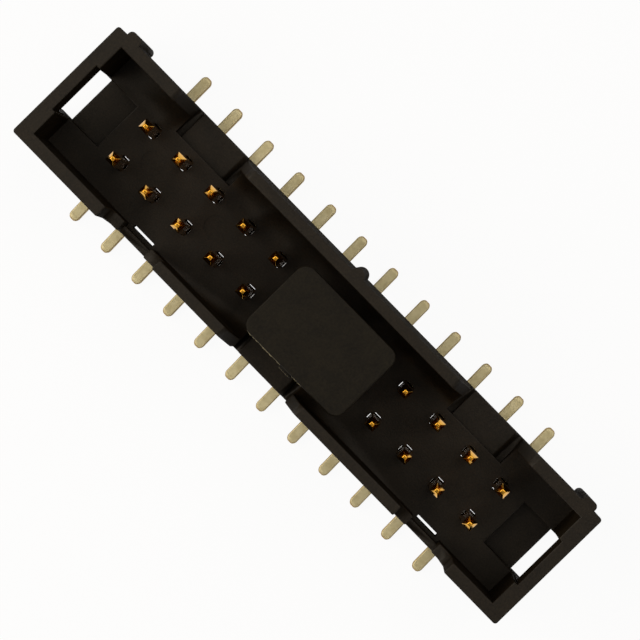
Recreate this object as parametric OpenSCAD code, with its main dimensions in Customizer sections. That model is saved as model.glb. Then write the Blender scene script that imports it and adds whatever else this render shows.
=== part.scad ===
// Surface-mount box header: a moulded shroud, two rows of bent square contacts
// and a moulded pick-up cap that plugs onto the middle contacts.
// Millimetres. X runs along the rows, Y across them, Z up from the solder plane.

/* [Contacts] */
// Contacts in each of the two rows
ways = 12; // [10:1:18]
// Distance from one contact to the next in a row
pitch = 2.54; // [2.4:0.02:2.7]
// Distance between the two rows
row_gap = 2.54; // [2.4:0.02:2.7]
// Side of the square contact wire
pin_w = 0.64; // [0.5:0.02:0.7]
// Height of the contact tips above the floor of the shroud
pin_rise = 5.35; // [4.6:0.05:6.0]
// Length of the taper at a contact's tip
tip_l = 0.5; // [0.3:0.05:0.8]
// Width of the small flat left at the very tip
tip_flat = 0.26; // [0.16:0.02:0.4]
// Inside radius of the bend from contact to solder tail
bend_r = 0.2; // [0.14:0.02:0.24]
// Distance from the centre line to the end of a solder tail
tail_reach = 5.6; // [5.0:0.1:6.4]
// Length of the point at the end of a solder tail
point_l = 0.24; // [0.14:0.02:0.5]
// Width left at the end of that point
point_flat = 0.32; // [0.12:0.02:0.36]

/* [Shroud] */
// Height of the shroud's underside above the solder plane
under_gap = 0.9; // [0.88:0.02:1.4]
// Thickness of the shroud's floor
floor_t = 1.4; // [1.2:0.05:2.2]
// Depth of the shroud from its rim to its floor
cavity_d = 6.75; // [6.4:0.05:7.5]
// Width of the cavity at its floor
cavity_w = 6.65; // [6.4:0.05:7.2]
// Distance from the last contact's centre to the inside of an end wall
end_room = 3.83; // [3.6:0.05:5.0]
// Thickness of the two long walls
side_wall = 0.74; // [0.66:0.02:1.0]
// Thickness of the two end walls
end_wall = 0.95; // [0.8:0.05:1.4]
// How far the outside of a long wall leans in at its rim, between its openings
outer_lean = 0.18; // [0.04:0.02:0.2]
// How far the inside of a long wall leans in at its rim, between its openings
inner_lean = 0.08; // [0.04:0.02:0.12]
// Radius of the shroud's upright outer corners
corner_r = 0.18; // [0.08:0.02:0.4]

/* [Key slots] */
// Width of a key slot between its upright sides
key_w = 4.28; // [3.4:0.02:4.6]
// Distance from the last contact to the middle of an outer key slot
key_inset = 3.03; // [2.9:0.01:3.4]
// Extra width of a key slot on each side at the rim
key_lead_w = 0.9; // [0.3:0.05:1.0]
// Depth of the sloping lead-in below the rim
key_lead_d = 3.3; // [1.5:0.1:4.5]
// Size of the eased edge where the lead-in meets the rim
key_ease = 0.25; // [0.1:0.01:0.3]
// How far a key slot reaches into the floor, inward from the wall
key_pocket = 1.15; // [0.7:0.05:1.3]
// Thickness of the web that closes the bottom of slots and end pockets
web_t = 0.4; // [0.3:0.05:0.7]
// Width of the raised tongue on the web of a key slot
tongue_w = 3.54; // [2.4:0.02:3.6]
// Height of that tongue above the web
tongue_h = 0.45; // [0.25:0.05:0.6]
// Size of the bevel along one edge of the tongue
tongue_bevel = 0.22; // [0.1:0.01:0.24]

/* [Stepped notches] */
// Width of a notch at the rim
notch_w = 4.14; // [3.0:0.02:4.6]
// Depth of its wide step below the rim
notch_d = 3.75; // [2.0:0.05:4.2]
// Width of the narrow slot in the middle of the notch
notch_slot_w = 2.1; // [1.8:0.02:2.6]
// Depth of the narrow slot below the rim
notch_slot_d = 5.9; // [4.6:0.05:6.0]
// Depth of the recess in the wall's inner face under the narrow slot
recess_d = 0.22; // [0.1:0.02:0.3]
// Length of the slit through the floor at the foot of the recess
slit_l = 1.55; // [1.0:0.05:1.7]
// Width of that slit
slit_w = 0.19; // [0.15:0.01:0.3]
// How far the slit reaches under the wall
slit_under = 0.02; // [0.01:0.01:0.1]
// Contact spaces from the left-hand contact to the left-hand notch
notch_left_ways = 1.5; // [1.5:1:2.5]
// Contact spaces from the right-hand contact to the right-hand notch
notch_right_ways = 0.5; // [0.5:1:1.5]

/* [End windows] */
// Width of the window through each end wall and of the pocket inside it
window_w = 3.2; // [2.4:0.05:4.0]
// Height of wall left above a window
window_head = 2.75; // [1.5:0.05:4.0]
// Width of the channel in an end wall's inner face
channel_w = 3.34; // [3.3:0.02:4.4]
// Depth of that channel
channel_d = 0.24; // [0.1:0.02:0.4]
// Length of the pocket in the floor, inward from the end wall
pocket_l = 2.2; // [1.2:0.05:2.6]

/* [Ribs and feet] */
// Width of a rib on the outside of the keyed wall
rib_w = 0.92; // [0.6:0.02:1.0]
// Radius of the long edges of an end rib; the middle rib is half-round
rib_edge = 0.28; // [0.1:0.02:0.3]
// How far a rib stands proud of the wall
rib_proud = 0.38; // [0.2:0.02:0.5]
// Distance from the end of the shroud to the middle of an end rib
rib_inset = 1.12; // [0.9:0.02:1.3]
// Length of the foot under each end of the shroud
foot_l = 3.5; // [2.5:0.1:3.9]
// Air left between the feet and the solder plane
foot_gap = 0.1; // [0.04:0.02:0.2]

/* [Contact holes] */
// Width of the reliefs beside a contact, along the row
relief_x_w = 0.34; // [0.24:0.02:0.5]
// Depth of the reliefs beside a contact, along the row
relief_x = 0.08; // [0.04:0.01:0.16]
// Width of the reliefs in front of and behind a contact
relief_y_w = 0.46; // [0.3:0.02:0.5]
// Depth of the reliefs in front of and behind a contact
relief_y = 0.1; // [0.04:0.01:0.16]
// Diameter of the ejector marks on the floor
ejector_d = 1.4; // [0.8:0.05:1.5]
// Depth of an ejector mark
ejector_t = 0.06; // [0.03:0.01:0.15]

/* [Pick-up cap] */
// Contacts that the cap covers in each row
cap_ways = 3; // [2:1:4]
// How far the cap reaches past its outer contacts along the rows
cap_end = 1.14; // [0.92:0.02:1.24]
// How far the cap reaches past the contacts across the rows
cap_side = 1.22; // [1.0:0.02:1.3]
// How far the cap's top sits off its contacts, towards the first contact
cap_off_l = 0.12; // [0.0:0.02:0.2]
// How far the cap's top sits off its contacts, towards the stepped notches
cap_off_w = 0.08; // [0.0:0.02:0.12]
// Thickness of the cap's flat top
cap_t = 0.8; // [0.5:0.05:1.2]
// Radius of the cap's corners
cap_corner = 0.65; // [0.3:0.05:0.85]
// How far the sockets reach down over the contacts
socket_l = 1.9; // [1.0:0.1:2.6]
// Thickness of plastic round a socket
socket_wall = 0.55; // [0.4:0.05:0.7]
// Clearance between a socket and its contact
socket_fit = 0.02; // [0.01:0.01:0.04]
// Width of the gate mark on the cap's edge
gate_w = 0.9; // [0.6:0.05:1.6]
// How far the gate mark stands proud
gate_proud = 0.18; // [0.06:0.02:0.2]
// Distance from the middle of the cap's edge to the middle of the gate mark
gate_off = 0.2; // [0.0:0.05:0.6]

/* [Hidden] */
$fn = 48;
eps = 0.01;
reach_past = 1;

under_z = under_gap;
floor_z = under_z + floor_t;
rim_z = floor_z + cavity_d;
web_z = under_z + web_t;
tip_z = floor_z + pin_rise;

row_half = (ways - 1) * pitch / 2;
row_y = row_gap / 2;
cavity_half_l = row_half + end_room;
cavity_half_w = cavity_w / 2;
body_half_l = cavity_half_l + end_wall;
body_half_w = cavity_half_w + side_wall;
key_x = row_half - key_inset;
notch_left_x = -row_half + notch_left_ways * pitch;
notch_right_x = row_half - notch_right_ways * pitch;
cap_first = ceil((ways - cap_ways) / 2);

function way_x(i) = i * pitch - row_half;
function two_digits(n) = n < 10 ? str("0", n) : str(n);
function pin_name(row, i) = str("pin_", row, two_digits(i + 1));

// Carries a Y-Z outline along X
module along_x(from, to) {
    translate([from, 0, 0])
        rotate([90, 0, 90])
            linear_extrude(to - from) children();
}

// Carries an X-Z outline along Y
module along_y(from, to) {
    translate([0, to, 0])
        rotate([90, 0, 0])
            linear_extrude(to - from) children();
}

// Rectangle with true round corners
module rounded_rect(half_l, half_w, r) {
    square([2 * half_l, 2 * (half_w - r)], center = true);
    square([2 * (half_l - r), 2 * half_w], center = true);
    for (sx = [-1, 1], sy = [-1, 1])
        translate([sx * (half_l - r), sy * (half_w - r)]) circle(r);
}

// ---- shroud -------------------------------------------------------------

// What a leaning wall face gives up: nothing at its foot, and the full lean
// at the rim between two openings of the wall, fading in across each opening
module lean_wedge(half, lean, foot_z, left, right, fade) {
    intersection() {
        translate([0, 0, foot_z])
            linear_extrude(rim_z - foot_z + reach_past)
                polygon([
                    [left, half],
                    [left + fade, half - lean],
                    [right - fade, half - lean],
                    [right, half],
                    [right, half + reach_past],
                    [left, half + reach_past]
                ]);
        along_x(left, right)
            polygon([
                [half, foot_z],
                [half - lean, rim_z],
                [half - lean, rim_z + reach_past],
                [half + reach_past, rim_z + reach_past],
                [half + reach_past, foot_z]
            ]);
    }
}

// The keyed wall leans between its two key slots, the other wall between
// its two stepped notches
module both_leans(half, lean, foot_z) {
    slot_end = key_x + key_w / 2;
    lean_wedge(half, lean, foot_z, -slot_end, slot_end, key_w);
    mirror([0, 1, 0])
        lean_wedge(
            half, lean, foot_z,
            notch_left_x - notch_w / 2, notch_right_x + notch_w / 2,
            (notch_w - notch_slot_w) / 2
        );
}

module outer_block() {
    difference() {
        union() {
            translate([0, 0, under_z])
                linear_extrude(rim_z - under_z)
                    rounded_rect(body_half_l, body_half_w, corner_r);
            for (side = [-1, 1]) foot(side);
        }
        both_leans(body_half_w, outer_lean, under_z);
    }
}

// The end block reaches down beside the last contacts, just off the board
module foot(side) {
    translate([0, 0, foot_gap])
        linear_extrude(under_z - foot_gap + eps)
            intersection() {
                rounded_rect(body_half_l, body_half_w, corner_r);
                translate([side * (body_half_l - foot_l / 2), 0])
                    square([foot_l, 2 * body_half_w], center = true);
            }
}

// A rib seen from above: its long edges rounded to r, up to a half-round
module rib_section(r) {
    translate([-rib_w / 2, -side_wall / 2])
        square([rib_w, side_wall / 2 + rib_proud - r]);
    if (r < rib_w / 2) {
        translate([r - rib_w / 2, -side_wall / 2])
            square([rib_w - 2 * r, side_wall / 2 + rib_proud]);
        for (side = [-1, 1])
            translate([side * (rib_w / 2 - r), rib_proud - r]) circle(r);
    } else {
        translate([0, rib_proud - r]) circle(r);
    }
}

// Rib down the outside of the keyed wall; the middle one leans in with it
module rib(x, r, lean) {
    tilt = atan2(lean, rim_z - under_z);
    intersection() {
        translate([x, body_half_w, under_z])
            rotate([tilt, 0, 0])
                translate([0, 0, -reach_past])
                    linear_extrude(rim_z - under_z + 2 * reach_past)
                        rib_section(r);
        translate([x - rib_w, body_half_w - side_wall / 2 - lean, under_z])
            cube([2 * rib_w, rib_w + side_wall, rim_z - under_z]);
    }
}

module cavity() {
    difference() {
        translate([-cavity_half_l, -cavity_half_w, floor_z])
            cube([2 * cavity_half_l, cavity_w, cavity_d + reach_past]);
        both_leans(cavity_half_w, inner_lean, floor_z);
    }
}

// Slot for the plug's key, cut through the +Y wall and on into the floor
module key_slot(x) {
    half = key_w / 2;
    wide = half + key_lead_w;
    translate([x, 0, 0])
        difference() {
            along_y(cavity_half_w - key_pocket, body_half_w + reach_past)
                polygon([
                    [-half, web_z],
                    [half, web_z],
                    [half, rim_z - key_lead_d],
                    [wide - key_ease, rim_z - key_ease],
                    [wide, rim_z],
                    [wide, rim_z + reach_past],
                    [-wide, rim_z + reach_past],
                    [-wide, rim_z],
                    [-wide + key_ease, rim_z - key_ease],
                    [-half, rim_z - key_lead_d]
                ]);
            key_tongue();
        }
}

// Raised land on the web of a key slot, with a bevel along one edge
module key_tongue() {
    half = tongue_w / 2;
    along_y(cavity_half_w - key_pocket - eps, body_half_w)
        polygon([
            [-half, web_z - eps],
            [half, web_z - eps],
            [half, web_z + tongue_h - tongue_bevel],
            [half - tongue_bevel, web_z + tongue_h],
            [-half, web_z + tongue_h]
        ]);
}

// Two-step notch through the -Y wall, its recess and the slit at its foot
module stepped_notch(x) {
    slot_z = rim_z - notch_slot_d;
    translate([x, 0, 0]) {
        along_y(-body_half_w - reach_past, -cavity_half_w + inner_lean + eps) {
            translate([-notch_w / 2, rim_z - notch_d])
                square([notch_w, notch_d + reach_past]);
            translate([-notch_slot_w / 2, slot_z])
                square([notch_slot_w, notch_slot_d]);
        }
        translate([-notch_slot_w / 2, -cavity_half_w - recess_d, floor_z])
            cube([notch_slot_w, recess_d + inner_lean + eps, slot_z - floor_z + eps]);
        translate([-slit_l / 2, -cavity_half_w - slit_under, under_z - eps])
            cube([slit_l, slit_w, floor_t + 2 * eps]);
    }
}

// Window through an end wall, the channel above it and the pocket inside it
module end_window(side) {
    mirror([side < 0 ? 1 : 0, 0, 0]) {
        translate([cavity_half_l, -window_w / 2, 0])
            cube([end_wall + reach_past, window_w, rim_z - window_head]);
        translate([cavity_half_l - eps, -channel_w / 2, floor_z])
            cube([channel_d + eps, channel_w, cavity_d + reach_past]);
        translate([cavity_half_l - pocket_l, -window_w / 2, web_z])
            cube([pocket_l + eps, window_w, floor_t]);
    }
}

// Square hole that grips a contact at its corners, relieved along its flats
module contact_hole(i, side) {
    translate([way_x(i), side * row_y, under_z - eps])
        linear_extrude(floor_t + 2 * eps) {
            square(pin_w, center = true);
            square([pin_w + 2 * relief_x, relief_x_w], center = true);
            square([relief_y_w, pin_w + 2 * relief_y], center = true);
        }
}

module ejector_mark(x) {
    translate([x, 0, floor_z - ejector_t])
        cylinder(d = ejector_d, h = ejector_t + eps);
}

module housing() {
    color("#1c1b19")
        difference() {
            union() {
                outer_block();
                rib(0, rib_w / 2, outer_lean);
                for (side = [-1, 1]) rib(side * (body_half_l - rib_inset), rib_edge, 0);
            }
            cavity();
            for (side = [-1, 1]) {
                key_slot(side * key_x);
                end_window(side);
                ejector_mark(side * (row_half - pitch / 2));
                ejector_mark(side * (row_half - 5 * pitch / 2));
            }
            mirror([0, 1, 0]) key_slot(0);
            stepped_notch(notch_left_x);
            stepped_notch(notch_right_x);
            for (i = [0 : ways - 1], side = [-1, 1]) contact_hole(i, side);
        }
}

// ---- contacts -----------------------------------------------------------

// The wire's path seen from the end of the shroud: up, round the bend, out
module pin_path() {
    bend_y = row_y + pin_w / 2 + bend_r;
    bend_z = pin_w + bend_r;
    translate([row_y - pin_w / 2, bend_z])
        square([pin_w, tip_z - bend_z]);
    translate([bend_y, 0])
        square([tail_reach - bend_y, pin_w]);
    intersection() {
        translate([bend_y, bend_z])
            difference() {
                circle(bend_r + pin_w);
                circle(bend_r);
            }
        translate([bend_y - bend_r - pin_w, 0])
            square(bend_r + pin_w);
    }
}

// Outline of a straight wire whose far end tapers to a small flat
module tapered_end(length, taper, flat) {
    polygon([
        [-pin_w / 2, 0],
        [pin_w / 2, 0],
        [pin_w / 2, length - taper],
        [flat / 2, length],
        [-flat / 2, length],
        [-pin_w / 2, length - taper]
    ]);
}

module contact_pin(i, side) {
    color("#c8a24e")
        translate([way_x(i), 0, 0])
            mirror([0, side < 0 ? 1 : 0, 0])
                intersection() {
                    along_x(-pin_w / 2, pin_w / 2) pin_path();
                    // tip, tapered as seen along the rows and across them
                    along_y(0, tail_reach) tapered_end(tip_z, tip_l, tip_flat);
                    union() {
                        translate([0, row_y, 0])
                            along_x(-pin_w, pin_w) tapered_end(tip_z, tip_l, tip_flat);
                        translate([-pin_w, row_y, -eps])
                            cube([2 * pin_w, tail_reach, pin_w + bend_r]);
                    }
                    // point of the tail, tapered as seen from above
                    linear_extrude(tip_z) tapered_end(tail_reach, point_l, point_flat);
                }
}

// ---- pick-up cap --------------------------------------------------------

module pick_up_cap() {
    span = (cap_ways - 1) * pitch / 2;
    mid_x = (way_x(cap_first) + way_x(cap_first + cap_ways - 1)) / 2;
    half_l = span + cap_end;
    half_w = row_y + cap_side;
    grip = pin_w / 2 + socket_fit;
    color("#2a2a2b")
        difference() {
            translate([mid_x, 0, 0]) {
                translate([-cap_off_l, -cap_off_w, tip_z]) {
                    linear_extrude(cap_t)
                        rounded_rect(half_l, half_w, cap_corner);
                    translate([-gate_off - gate_w / 2, -half_w - gate_proud, 0])
                        cube([gate_w, gate_proud + eps, cap_t / 2]);
                }
                translate([0, 0, tip_z - socket_l])
                    linear_extrude(socket_l + eps)
                        rounded_rect(
                            span + grip + socket_wall,
                            row_y + grip + socket_wall,
                            socket_wall / 2
                        );
            }
            for (i = [cap_first : cap_first + cap_ways - 1], side = [-1, 1])
                translate([way_x(i), side * row_y, tip_z - socket_l - eps])
                    linear_extrude(socket_l + eps)
                        square(2 * grip, center = true);
        }
}

housing();
pick_up_cap();
for (i = [0 : ways - 1]) {
    contact_pin(i, 1);
    contact_pin(i, -1);
}
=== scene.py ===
import math

import bmesh
import bpy
import numpy as np
from mathutils import Matrix, Vector


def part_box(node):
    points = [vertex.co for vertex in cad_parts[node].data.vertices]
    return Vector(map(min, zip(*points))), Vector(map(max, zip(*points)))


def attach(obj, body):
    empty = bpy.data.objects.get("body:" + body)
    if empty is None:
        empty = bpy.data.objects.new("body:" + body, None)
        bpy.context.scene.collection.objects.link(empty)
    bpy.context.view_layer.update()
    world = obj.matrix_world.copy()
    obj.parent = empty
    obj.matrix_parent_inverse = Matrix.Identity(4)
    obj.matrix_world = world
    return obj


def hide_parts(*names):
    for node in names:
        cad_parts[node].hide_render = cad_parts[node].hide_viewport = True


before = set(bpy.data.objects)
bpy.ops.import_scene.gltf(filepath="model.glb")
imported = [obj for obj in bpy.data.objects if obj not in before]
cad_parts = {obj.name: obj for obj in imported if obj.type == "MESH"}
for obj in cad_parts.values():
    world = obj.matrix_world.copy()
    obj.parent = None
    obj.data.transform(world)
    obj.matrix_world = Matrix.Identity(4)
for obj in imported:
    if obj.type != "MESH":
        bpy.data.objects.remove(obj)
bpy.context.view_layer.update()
scene = bpy.context.scene
scene.view_settings.view_transform = "Standard"


# ---- camera -------------------------------------------------------------
# A long lens almost straight above the header, so that the long walls show
# their inner faces only a little, with the header turned corner to corner.
CAMERA_AT_MM = Vector((2.659, 4.757, 179.0))
AIM_AT_MM = Vector((0.181, 0.490, 0.0))
LENS_MM = 176.46
TURN_DEG = 45.617

ahead = (AIM_AT_MM - CAMERA_AT_MM).normalized()
along = ahead.cross(Vector((0, 1, 0))).normalized()
across = along.cross(ahead)
turn = math.radians(TURN_DEG)
right = along * math.cos(turn) + across * math.sin(turn)
upward = across * math.cos(turn) - along * math.sin(turn)
camera_data = bpy.data.cameras.new("camera")
camera_data.lens = LENS_MM
camera_data.sensor_width = 36
camera_data.clip_start = 0.001
camera_data.clip_end = 10
camera = bpy.data.objects.new("camera", camera_data)
camera.matrix_world = Matrix.Translation(CAMERA_AT_MM / 1000) @ Matrix(
    (right, upward, -ahead)
).transposed().to_4x4()
scene.collection.objects.link(camera)
scene.camera = camera


# ---- floor and light ----------------------------------------------------
# A white sheet under the header, and soft lamps from the sides and above.
# What the camera and mirror rays see of the sheet is made white in its
# material, so that no extra light has to fall on the header.
def linear(hex_colour):
    """sRGB hex to linear: a straight part near black, and a power of 2.4 above it."""
    c = np.array([int(hex_colour[i : i + 2], 16) for i in (1, 3, 5)]) / 255
    c = np.where(c <= 0.04045, c / 12.92, ((c + 0.055) / 1.055) ** 2.4)
    return (*c, 1.0)


def add(tree, kind, inputs=None, **settings):
    """Adds a node of that kind. Settings set its properties. Inputs set its sockets: a
    value where one is given, a link where the value is another node's output."""
    node = tree.nodes.new(kind)
    for name, value in settings.items():
        setattr(node, name, value)
    for key, value in (inputs or {}).items():
        if isinstance(value, bpy.types.NodeSocket):
            tree.links.new(value, node.inputs[key])
        else:
            node.inputs[key].default_value = value
    return node


def new_material(name):
    """An empty node material, and its node tree."""
    material = bpy.data.materials.new(name)
    material.use_nodes = True
    material.node_tree.nodes.clear()
    return material, material.node_tree


def new_piece(name, points, faces):
    """A smoothly shaded mesh object from an N by 3 array of points in metres and a list
    of faces."""
    mesh = bpy.data.meshes.new(name)
    mesh.from_pydata(points.tolist(), [], faces)
    mesh.polygons.foreach_set("use_smooth", [True] * len(mesh.polygons))
    piece = bpy.data.objects.new(name, mesh)
    scene.collection.objects.link(piece)
    return piece


SHEET_HALF_M = 0.6
floor = new_piece(
    "white_sheet",
    SHEET_HALF_M * np.array([(-1, -1, 0), (1, -1, 0), (1, 1, 0), (-1, 1, 0)]),
    [(0, 1, 2, 3)],
)

# Matt white paper. Only a small share of it still takes shadows where it is looked at,
# and the rest is an even white.
GLOW_SHARE = 0.94
sheet_white, tree = new_material("white_paper_sheet")
ray = add(tree, "ShaderNodeLightPath")
looked_at = add(
    tree, "ShaderNodeMath",
    {0: ray.outputs["Is Camera Ray"], 1: ray.outputs["Is Glossy Ray"]},
    operation="ADD",
)
looked_at = add(
    tree, "ShaderNodeMath",
    {0: looked_at.outputs[0], 1: ray.outputs["Is Transmission Ray"]},
    operation="ADD", use_clamp=True,
)
share = add(
    tree, "ShaderNodeMath", {0: looked_at.outputs[0], 1: GLOW_SHARE}, operation="MULTIPLY"
)
paper = add(tree, "ShaderNodeBsdfDiffuse", {"Color": linear("#f6f6f4")})
glow = add(tree, "ShaderNodeEmission", {"Color": linear("#ffffff"), "Strength": 1.0})
sheet = add(
    tree, "ShaderNodeMixShader", {0: share.outputs[0], 1: paper.outputs[0], 2: glow.outputs[0]}
)
add(tree, "ShaderNodeOutputMaterial", {"Surface": sheet.outputs[0]})
floor.data.materials.append(sheet_white)

ROOM_LEVEL = 0.10
world = bpy.data.worlds.new("studio")
scene.world = world
world.use_nodes = True
tree = world.node_tree
tree.nodes.clear()
room = add(tree, "ShaderNodeBackground", {"Color": linear("#ffffff"), "Strength": ROOM_LEVEL})
add(tree, "ShaderNodeOutputWorld", {"Surface": room.outputs[0]})


def softbox(name, at, size, level):
    """A square, slightly warm area lamp at a place in metres, aimed at the header. Its
    power is level times pi squared times its distance cubed over its height, which
    makes a level matt white surface under it alone show at that level."""
    reach = Vector(at).length
    lamp = bpy.data.lights.new(name, "AREA")
    lamp.shape = "SQUARE"
    lamp.size = size
    lamp.color = linear("#fff3e0")[:3]
    lamp.energy = level * math.pi**2 * reach**3 / at[2]
    holder = bpy.data.objects.new(name, lamp)
    holder.location = at
    holder.rotation_euler = (-Vector(at)).to_track_quat("-Z", "Y").to_euler()
    scene.collection.objects.link(holder)


softbox("lamp_main", (-0.125, -0.085, 0.120), 0.22, 0.52)
softbox("lamp_top", (0.0, 0.0, 0.30), 0.20, 0.04)
softbox("lamp_far", (0.03, 0.16, 0.24), 0.24, 0.26)
softbox("lamp_right", (0.30, -0.06, 0.20), 0.24, 0.05)


# ---- shroud -------------------------------------------------------------
# One moulding of black glass-filled thermoplastic, open at the top for the
# plug. The tool leaves a fine satin grain on it and slightly rounded edges.
SAME_POINT_M = 1e-7
SAME_BEVEL_POINT_M = 5e-7
SAME_PLANE_DEG = 0.5
EASED_FROM_DEG = 30
KEPT_SHARP_DEG = 18
EASED_STEPS = 3
CIRCULAR = 0.5


def eased_copy(node_name, piece_name, radius_mm, eased):
    """A merged copy of a CAD node with rounded edges. Triangles that lie in one plane are
    joined up. Each outward edge that turns by more than 30 degrees, and whose middle
    the function eased accepts, gets a round of that radius in three steps. Other
    edges that turn by more than 18 degrees are marked as sharp."""
    shape = bmesh.new()
    shape.from_mesh(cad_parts[node_name].data)
    bmesh.ops.remove_doubles(shape, verts=shape.verts, dist=SAME_POINT_M)
    bmesh.ops.dissolve_limit(
        shape, angle_limit=math.radians(SAME_PLANE_DEG), verts=shape.verts, edges=shape.edges
    )
    rounded = [
        e for e in shape.edges
        if e.is_convex
        and e.calc_face_angle(0) > math.radians(EASED_FROM_DEG)
        and eased(*(1000 * (e.verts[0].co + e.verts[1].co) / 2))
    ]
    for edge in shape.edges:
        edge.smooth = edge.calc_face_angle(0) < math.radians(KEPT_SHARP_DEG)
    for edge in rounded:
        edge.smooth = True
    bmesh.ops.bevel(
        shape, geom=rounded, offset=radius_mm / 1000, offset_type="OFFSET",
        segments=EASED_STEPS, profile=CIRCULAR, affect="EDGES", clamp_overlap=False,
    )
    bmesh.ops.remove_doubles(shape, verts=shape.verts, dist=SAME_BEVEL_POINT_M)
    bmesh.ops.dissolve_degenerate(shape, dist=SAME_POINT_M, edges=shape.edges)
    mesh = bpy.data.meshes.new(piece_name)
    shape.to_mesh(mesh)
    shape.free()
    piece = bpy.data.objects.new(piece_name, mesh)
    scene.collection.objects.link(piece)
    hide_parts(node_name)
    return even_shading(piece)


def even_shading(piece):
    """Smooth shading that keeps flat faces flat: at an edge that isn't marked as sharp,
    the larger face sets the normal."""
    piece.data.polygons.foreach_set("use_smooth", [True] * len(piece.data.polygons))
    weighting = piece.modifiers.new("even_shading", "WEIGHTED_NORMAL")
    weighting.keep_sharp = True
    return piece


CLOUDS_PER_MM = 0.7
GRAIN_SHARE = 0.6
GRAIN_DEPTH_SHARE = 0.2
LEVEL_FROM = 0.6
UPRIGHT_SHINE, UPRIGHT_ROUGH = 0.01, 0.85


def moulded_plastic(name, dark, pale, grain_mm, bump, rough, shine):
    """Moulded plastic: a tone that drifts between two near ones in clouds and by grain,
    and a grain of that width on level faces, a fifth as deep as it is wide. Upright
    faces have no grain and hardly any shine, because they drag along the tool as the
    part is pushed out. The Z of a face's normal tells level from upright."""
    material, tree = new_material(name)
    place = add(tree, "ShaderNodeTexCoord")
    drift = add(
        tree, "ShaderNodeTexNoise",
        {"Vector": place.outputs["Object"], "Scale": 1000 * CLOUDS_PER_MM, "Detail": 3.0},
    )
    grain = add(
        tree, "ShaderNodeTexNoise",
        {"Vector": place.outputs["Object"], "Scale": 1000 / grain_mm, "Detail": 2.0},
    )
    both = add(
        tree, "ShaderNodeMix",
        {"Factor": GRAIN_SHARE, "A": drift.outputs["Fac"], "B": grain.outputs["Fac"]},
        data_type="FLOAT",
    )
    tone = add(tree, "ShaderNodeValToRGB", {"Fac": both.outputs["Result"]})
    for stop, at, colour in zip(tone.color_ramp.elements, (0.36, 0.64), (dark, pale)):
        stop.position, stop.color = at, linear(colour)
    facing = add(tree, "ShaderNodeNewGeometry")
    facing = add(tree, "ShaderNodeSeparateXYZ", {"Vector": facing.outputs["Normal"]})
    level = add(tree, "ShaderNodeMath", {0: facing.outputs["Z"]}, operation="ABSOLUTE")
    gloss = add(
        tree, "ShaderNodeMapRange",
        {
            "Value": level.outputs[0], "From Max": LEVEL_FROM,
            "To Min": UPRIGHT_SHINE, "To Max": shine,
        },
    )
    satin = add(
        tree, "ShaderNodeMapRange",
        {
            "Value": level.outputs[0], "From Max": LEVEL_FROM,
            "To Min": UPRIGHT_ROUGH, "To Max": rough,
        },
    )
    strength = add(
        tree, "ShaderNodeMapRange", {"Value": level.outputs[0], "To Min": 0, "To Max": bump}
    )
    dent = add(
        tree, "ShaderNodeBump",
        {
            "Height": grain.outputs["Fac"], "Strength": strength.outputs[0],
            "Distance": GRAIN_DEPTH_SHARE * grain_mm / 1000,
        },
    )
    skin = add(
        tree, "ShaderNodeBsdfPrincipled",
        {
            "Base Color": tone.outputs["Color"], "Normal": dent.outputs[0],
            "Roughness": satin.outputs[0], "IOR": 1.5, "Specular IOR Level": gloss.outputs[0],
        },
    )
    add(tree, "ShaderNodeOutputMaterial", {"Surface": skin.outputs[0]})
    return material


def dress(piece, material):
    """Gives a new piece its material and fixes it to the body."""
    piece.data.materials.append(material)
    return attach(piece, "root")


# At floor level and below, the contact field and the two narrow slits stay crisp,
# because the tool's own core pins cut their edges.
CRISP_UP_TO_MM = 2.35
FIELD_HALF_MM = Vector((14.7, 1.8))
SLITS_Y_MM, SLITS_BEYOND_X_MM = (-3.42, -3.05), 3
SHROUD_EDGE_MM = 0.07


def shroud_edge(x, y, z):
    """True for the middle of a shroud edge that is rounded off."""
    in_field = abs(x) < FIELD_HALF_MM.x and abs(y) < FIELD_HALF_MM.y
    in_slit = SLITS_Y_MM[0] < y < SLITS_Y_MM[1] and abs(x) > SLITS_BEYOND_X_MM
    return z > CRISP_UP_TO_MM or not (in_field or in_slit)


# Glass-filled nylon or its like, moulded in a spark-eroded tool: a warm near black
# with a satin top and quite dull sides.
shroud_plastic = moulded_plastic(
    "black_glass_filled_thermoplastic_moulded", "#15110c", "#231d15", 0.10, 0.5, 0.48, 0.25
)
shroud = eased_copy("housing", "shroud_moulding", SHROUD_EDGE_MM, shroud_edge)
dress(shroud, shroud_plastic)


# ---- pick-up cap --------------------------------------------------------
# A small moulding of dark grey thermoplastic pushed onto six contacts, so
# that a placing machine has a flat to lift by. Its top has a spark-eroded
# grain. A torn gate and a line of thin flash are left on one long edge.
CAP_EDGE_MM = 0.09
UNDER_PLATE_MM = 0.02
cap_edge_y = 1000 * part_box("pick_up_cap")[0].y
tip_z = 1000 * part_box("pin_a01")[1].z


def cap_edge(x, y, z):
    """True for the middle of an edge of the cap's plate, which rests on the tips. The
    sockets under it keep their crisp edges."""
    return z > tip_z - UNDER_PLATE_MM


# Dark grey thermoplastic, moulded with a grained top: a matt, slightly mottled face.
cap_plastic = moulded_plastic(
    "dark_grey_thermoplastic_moulded", "#0e0b06", "#1c180f", 0.12, 0.9, 0.5, 0.18
)
cap = eased_copy("pick_up_cap", "cap_moulding", CAP_EDGE_MM, cap_edge)
dress(cap, cap_plastic)

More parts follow.
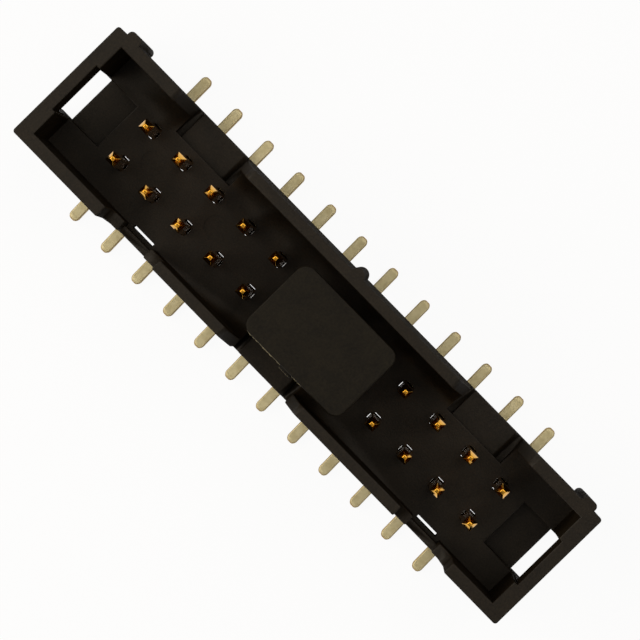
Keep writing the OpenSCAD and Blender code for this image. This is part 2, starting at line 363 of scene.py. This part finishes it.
# The flash stands on the plate's lower edge, which lies behind the gate's outer face.
# The torn face is rooted just inside that outer face and reaches a hair past it.
GATE_PROUD_MM, TORN_PROUD_MM = 0.18, 0.03
FLASH_UP_MM, TORN_UP_MM = 0.05, 0.28
FLASH_FROM_MM, FLASH_TO_MM, FLASH_REACH_MM, FLASH_THICK_MM = -2.1, 2.25, 0.075, 0.03
TORN_FROM_MM, TORN_TO_MM, TORN_REACH_MM, TORN_THICK_MM = 0.56, 1.34, 0.05, 0.20
FIN_ROOT_MM = 0.02
FIN_STATIONS = 120


def ragged_fin(from_mm, to_mm, base_y, base_z, reach_mm, thick_mm):
    """A fin that stands out from an edge, as rings of four points. Its reach is a sum of
    three sines of the distance along the edge, held between a half and one, and runs
    out at both ends. Its outer edge rises and falls by another sine."""
    s = np.linspace(0, 1, FIN_STATIONS)
    wave = 0.7 + 0.2 * np.sin(19 * s + 1) + 0.15 * np.sin(47 * s) + 0.15 * np.sin(101 * s + 2)
    reach = reach_mm * np.clip(wave, 0.5, 1.0) * np.minimum(1, 14 * np.minimum(s, 1 - s) + 0.1)
    lift = 0.3 * thick_mm * np.sin(31 * s)
    rows = [
        (base_y + FIN_ROOT_MM + 0 * reach, base_z - thick_mm / 2 + 0 * lift),
        (base_y - reach, base_z - thick_mm / 4 + lift),
        (base_y - reach, base_z + thick_mm / 4 + lift),
        (base_y + FIN_ROOT_MM + 0 * reach, base_z + thick_mm / 2 + 0 * lift),
    ]
    along = from_mm + (to_mm - from_mm) * s
    return np.stack([np.stack([along, y, z], axis=1) for y, z in rows], axis=1)


def loop_faces(rings, around):
    """Quads between rings of points that each close on themselves, with each end closed
    by one face. The quad at ring r and point a joins a and its next point to the same
    two points on ring r + 1."""
    r, a = np.meshgrid(np.arange(rings - 1), np.arange(around), indexing="ij")
    b = (a + 1) % around
    here, beyond = r * around, (r + 1) * around
    quads = np.stack([here + a, beyond + a, beyond + b, here + b], -1)
    first, last = range(around), range((rings - 1) * around, rings * around)
    return quads.reshape(-1, 4).tolist() + [list(first), list(last)[::-1]]


# The flash's pale colour is a painted highlight for the white light that the thin fin catches,
# and torn plastic is whitened by stress: both show as paler lines against the cap.
flash_painted_highlight_plastic = moulded_plastic("thin_plastic_flash_painted_highlight", "#8a8368", "#aaa283", 0.06, 0.3, 0.4, 0.3)
torn_plastic = moulded_plastic(
    "torn_whitened_plastic", "#4a4535", "#6f6850", 0.05, 0.6, 0.6, 0.2
)
fin = ragged_fin(
    FLASH_FROM_MM, FLASH_TO_MM, cap_edge_y + GATE_PROUD_MM, tip_z + FLASH_UP_MM,
    FLASH_REACH_MM, FLASH_THICK_MM,
)
flash = new_piece("cap_flash", fin.reshape(-1, 3) / 1000, loop_faces(*fin.shape[:2]))
dress(flash, flash_painted_highlight_plastic)
fin = ragged_fin(
    TORN_FROM_MM, TORN_TO_MM, cap_edge_y + TORN_PROUD_MM, tip_z + TORN_UP_MM,
    TORN_REACH_MM, TORN_THICK_MM,
)
gate = new_piece("cap_torn_gate", fin.reshape(-1, 3) / 1000, loop_faces(*fin.shape[:2]))
dress(gate, torn_plastic)


# ---- contacts -----------------------------------------------------------
# Twenty-four lengths of square drawn wire, cropped to a blunt point at the
# top, pressed through the floor and bent out flat as solder tails. They are
# gold over the mating length and matt tin below, with bare metal where cropped.
HALF_WIRE_MM = 0.64 / 2
BEND_MM = 0.2 + HALF_WIRE_MM
BEND_STATIONS = 9
CORNER_POINTS = 5
# Rows hold the distance from the tip or from the tail's end, the section's half-width,
# for a tail its half-height, and its corner radius as a share of its half-width.
TIP_STEPS_MM = (
    (0.0, 0.050, 0.5), (0.006, 0.085, 0.3), (0.022, 0.112, 0.16), (0.05, 0.132, 0.08),
    (0.46, 0.304, 0.06), (0.54, HALF_WIRE_MM, 0.13),
)
TAIL_STEPS_MM = (
    (0.0, 0.12, 0.22, 0.6), (0.02, 0.17, 0.26, 0.5), (0.07, 0.23, 0.295, 0.4),
    (0.17, 0.295, 0.316, 0.3), (0.28, HALF_WIRE_MM, HALF_WIRE_MM, 0.25),
)
# Where the wire is pressed through the floor it is a little thicker and stands a little
# outwards. Heights run from above that stretch to below it.
PRESSED_HEIGHTS_MM = (2.55, 2.32, 1.1, BEND_MM + HALF_WIRE_MM + 0.02)
PRESSED_SHARES = (0.0, 1.0, 1.0, 0.0)
PRESSED_WIDE_MM, PRESSED_DEEP_MM, PRESSED_OUT_MM = 0.345, 0.372, 0.014
SHAFT_CORNER, BEND_CORNER, TAIL_CORNER = 0.13, 0.2, 0.25
STRAIGHT_TAIL_FROM_MM = 0.6
LEANING_TIP_MM = 0.5
# Tails stand askew by a share of their length, the two rows in opposite ways, and each
# tail and each tip strays a little by itself.
SKEW = {"a": -0.018, "b": 0.030}
SKEW_STRAY, TIP_STRAY_MM = 0.003, 0.012
stray = np.random.default_rng(24)


def contact_rings(x, row_y, side, tip_z, tail_y, skew, tip_shift):
    """The wire's section carried down from the tip, round a quarter circle and out along
    the tail. The section is a square whose corners are quarter circles. Its half-widths
    come from the two tables of steps, and it swells a little where it is pressed through
    the floor. The tail's centre moves sideways by skew times its distance from the bend,
    and the tip leans by tip_shift. Side is 1 for a tail towards +Y and -1 towards -Y."""
    tip, tail = np.array(TIP_STEPS_MM), np.array(TAIL_STEPS_MM)[::-1]
    shaft_z, pressed = np.array(PRESSED_HEIGHTS_MM), np.array(PRESSED_SHARES)
    bend = np.linspace(0, math.pi / 2, BEND_STATIONS)
    plain = 0 * bend + HALF_WIRE_MM
    pressed_wide = HALF_WIRE_MM + (PRESSED_WIDE_MM - HALF_WIRE_MM) * pressed
    pressed_deep = HALF_WIRE_MM + (PRESSED_DEEP_MM - HALF_WIRE_MM) * pressed
    # Centre line: down from the tip, round the bend, out along the tail
    down_z = np.concatenate([tip_z - tip[:, 0], shaft_z])
    down_y = row_y + np.concatenate([0 * tip[:, 0], PRESSED_OUT_MM * pressed])
    bend_y = row_y + BEND_MM * (1 - np.cos(bend))
    bend_z = HALF_WIRE_MM + BEND_MM * (1 - np.sin(bend))
    out_y = np.concatenate([[row_y + BEND_MM + STRAIGHT_TAIL_FROM_MM], tail_y - tail[:, 0]])
    y = np.concatenate([down_y, bend_y, out_y])
    z = np.concatenate([down_z, bend_z, 0 * out_y + HALF_WIRE_MM])
    angle = np.concatenate([0 * down_z, bend, 0 * out_y + math.pi / 2])
    # Section: half-width, half-height and corner share at each station
    wide = np.concatenate([tip[:, 1], pressed_wide, plain, [HALF_WIRE_MM], tail[:, 1]])
    deep = np.concatenate([tip[:, 1], pressed_deep, plain, [HALF_WIRE_MM], tail[:, 2]])
    corner_share = np.concatenate(
        [tip[:, 2], 0 * shaft_z + SHAFT_CORNER, 0 * bend + BEND_CORNER, [TAIL_CORNER], tail[:, 3]]
    )
    quarter = np.linspace(0, math.pi / 2, CORNER_POINTS)
    turn = quarter[None, :] + np.arange(4)[:, None] * math.pi / 2
    arc = np.stack([np.cos(turn), np.sin(turn)], -1).reshape(-1, 2)
    corner = np.repeat(np.array([(1, 1), (-1, 1), (-1, -1), (1, -1)]), CORNER_POINTS, axis=0)
    section = corner + corner_share[:, None, None] * (arc - corner)
    # Strays: the tip leans, and the tail runs askew
    near_tip = np.clip((z - tip_z + LEANING_TIP_MM) / LEANING_TIP_MM, 0, 1) * (angle == 0)
    sideways = near_tip * tip_shift[0] + skew * np.clip(y - row_y - BEND_MM, 0, None)
    offset = section[:, :, 1] * deep[:, None]
    px = x + section[:, :, 0] * wide[:, None] + sideways[:, None]
    py = y[:, None] + offset * np.cos(angle)[:, None] + (near_tip * tip_shift[1])[:, None]
    pz = z[:, None] + offset * np.sin(angle)[:, None]
    return np.stack([px, side * py, pz], -1)


# Drawn copper alloy wire: smooth gold where the plug's contacts slide, so it mirrors the
# dark shroud, and matt tin on the tails, with painted shade in a darker yellow on the wire's
# upright sides.
GOLD_FROM_M, GOLD_FULL_M = 0.0012, 0.0020
CROPPED_FROM_M, CROPPED_FULL_M = 0.00555, 0.00560
STAINS_PER_MM, DRAWING_MARKS_PER_MM = 2.5, 9
SIDE_SHADE_FULL_BELOW, SIDE_SHADE_NONE_ABOVE = 0.55, 0.97
TIN_ROUGH, GOLD_ROUGH = 0.55, 0.16
TIN_METALLIC = 0.5
TIN_BUMP, TIN_BUMP_DEPTH_M = 0.3, 0.00001
wire, tree = new_material("drawn_copper_alloy_wire_gold_and_matt_tin_plated")
place = add(tree, "ShaderNodeTexCoord")
split = add(tree, "ShaderNodeSeparateXYZ", {"Vector": place.outputs["Object"]})
gold = add(
    tree, "ShaderNodeMapRange",
    {"Value": split.outputs["Z"], "From Min": GOLD_FROM_M, "From Max": GOLD_FULL_M},
)
out_along = add(tree, "ShaderNodeMath", {0: split.outputs["Y"]}, operation="ABSOLUTE")
bare = add(
    tree, "ShaderNodeMapRange",
    {"Value": out_along.outputs[0], "From Min": CROPPED_FROM_M, "From Max": CROPPED_FULL_M},
)
stain = add(
    tree, "ShaderNodeTexNoise",
    {"Vector": place.outputs["Object"], "Scale": 1000 * STAINS_PER_MM, "Detail": 4.0},
)
tin = add(tree, "ShaderNodeValToRGB", {"Fac": stain.outputs["Fac"]})
for stop, at, colour in zip(tin.color_ramp.elements, (0.35, 0.65), ("#ddd3a8", "#efe7c0")):
    stop.position, stop.color = at, linear(colour)
facing = add(tree, "ShaderNodeNewGeometry")
facing = add(tree, "ShaderNodeSeparateXYZ", {"Vector": facing.outputs["Normal"]})
level = add(tree, "ShaderNodeMath", {0: facing.outputs["Z"]}, operation="ABSOLUTE")
# Painted shade: faces that stand upright, the sides of the wire, turn a darker yellow by their
# normal's Z.
side_painted_shade = add(
    tree, "ShaderNodeMapRange",
    {
        "Value": level.outputs[0], "From Min": SIDE_SHADE_FULL_BELOW, "From Max": SIDE_SHADE_NONE_ABOVE,
        "To Min": 1.0, "To Max": 0.0,
    },
)
tin_and_painted_side_shade = add(
    tree, "ShaderNodeMix",
    {"Factor": side_painted_shade.outputs[0], "A": tin.outputs["Color"], "B": linear("#a88a48")},
    data_type="RGBA",
)
tail_colour = add(
    tree, "ShaderNodeMix",
    {"Factor": bare.outputs[0], "A": tin_and_painted_side_shade.outputs["Result"], "B": linear("#b98a4a")},
    data_type="RGBA",
)
colour = add(
    tree, "ShaderNodeMix",
    {"Factor": gold.outputs[0], "A": tail_colour.outputs["Result"], "B": linear("#e0a63a")},
    data_type="RGBA",
)
rough = add(
    tree, "ShaderNodeMapRange",
    {"Value": gold.outputs[0], "To Min": TIN_ROUGH, "To Max": GOLD_ROUGH},
)
plated = add(
    tree, "ShaderNodeMapRange", {"Value": gold.outputs[0], "To Min": TIN_METALLIC, "To Max": 1.0}
)
drawn = add(
    tree, "ShaderNodeTexNoise",
    {"Vector": place.outputs["Object"], "Scale": 1000 * DRAWING_MARKS_PER_MM, "Detail": 2.0},
)
marked = add(
    tree, "ShaderNodeMapRange", {"Value": gold.outputs[0], "To Min": TIN_BUMP, "To Max": 0.0}
)
dent = add(
    tree, "ShaderNodeBump",
    {
        "Height": drawn.outputs["Fac"], "Strength": marked.outputs[0],
        "Distance": TIN_BUMP_DEPTH_M,
    },
)
metal = add(
    tree, "ShaderNodeBsdfPrincipled",
    {
        "Base Color": colour.outputs["Result"], "Metallic": plated.outputs[0],
        "Roughness": rough.outputs[0], "Normal": dent.outputs[0],
    },
)
add(tree, "ShaderNodeOutputMaterial", {"Surface": metal.outputs[0]})

FACET_DEG = 32
for name in sorted(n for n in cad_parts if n.startswith("pin_")):
    low, high = (1000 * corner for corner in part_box(name))
    row = name[len("pin_")]
    side = 1 if row == "a" else -1
    tail_y = high.y if side > 0 else -low.y
    row_y = (low.y if side > 0 else -high.y) + HALF_WIRE_MM
    rings = contact_rings(
        (low.x + high.x) / 2, row_y, side, high.z, tail_y,
        SKEW[row] + stray.normal(0, SKEW_STRAY), stray.normal(0, TIP_STRAY_MM, 2),
    )
    faces = loop_faces(*rings.shape[:2])
    if side < 0:
        faces = [face[::-1] for face in faces]
    contact = new_piece(name.replace("pin", "contact"), rings.reshape(-1, 3) / 1000, faces)
    contact.data.set_sharp_from_angle(angle=math.radians(FACET_DEG))
    even_shading(contact)
    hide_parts(name)
    dress(contact, wire)
